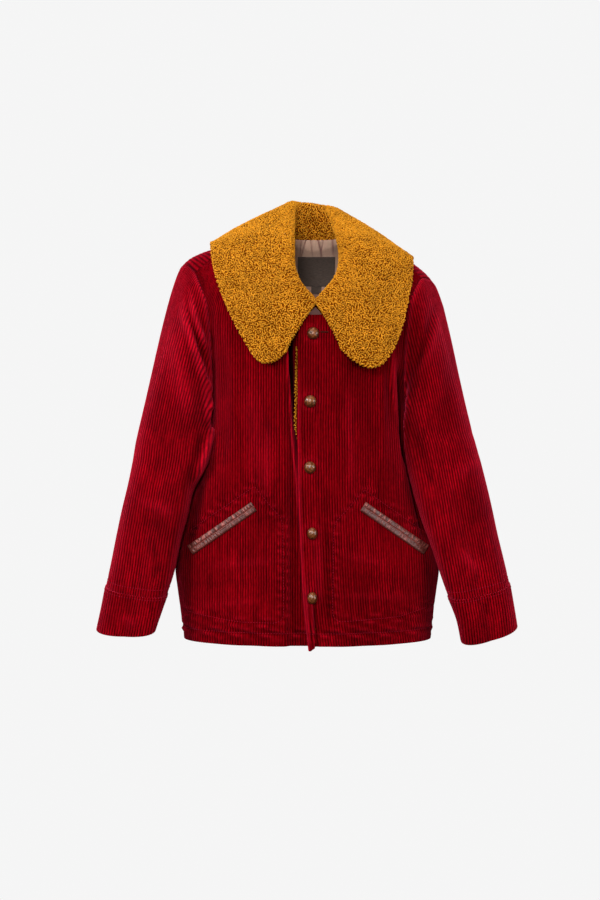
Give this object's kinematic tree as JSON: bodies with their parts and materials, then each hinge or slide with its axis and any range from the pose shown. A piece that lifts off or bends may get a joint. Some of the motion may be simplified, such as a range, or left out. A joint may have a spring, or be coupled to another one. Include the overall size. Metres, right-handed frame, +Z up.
{
  "type": "corduroy coat",
  "caption": "Hip-length wide-wale corduroy coat with a large fleece collar, button front, slanted leather-lipped pockets and turned cuffs, standing hollow as if worn.",
  "frame": {"origin": "between the shoulders at the base of the neck, where the wearer carries the coat", "axes": "+Z up along the wearer, -Y to the wearer's front, +X to the wearer's left"},
  "size_m": [0.6588, 0.279, 0.7069],
  "materials": {
    "corduroy_back": "deep red wide-wale pile",
    "corduroy_front": "deep red wide-wale pile",
    "corduroy_sleeve": "deep red wide-wale pile",
    "corduroy_cuff": "deep red wide-wale pile",
    "collar_fleece": "mustard curled fleece",
    "facing_fleece": "mustard curled fleece",
    "lining": "smooth taupe satin",
    "label": "bare dark woven tape",
    "pocket_leather": "crinkled satin",
    "button": "polished brown"
  },
  "bodies": {
    "root": {"back": "corduroy_back", "front_left": "corduroy_front", "front_right": "corduroy_front", "sleeve_left": "corduroy_sleeve", "sleeve_right": "corduroy_sleeve", "cuff_left": "corduroy_cuff", "cuff_right": "corduroy_cuff", "collar": "collar_fleece", "facing_left": "facing_fleece", "lining_back": "lining", "label": "label", "size_tab": "label", "pocket_lip_upper_left": "pocket_leather", "pocket_lip_lower_left": "pocket_leather", "pocket_lip_upper_right": "pocket_leather", "pocket_lip_lower_right": "pocket_leather", "button_1": "button", "button_2": "button", "button_3": "button", "button_4": "button", "button_5": "button"}
  },
  "joints": []
}
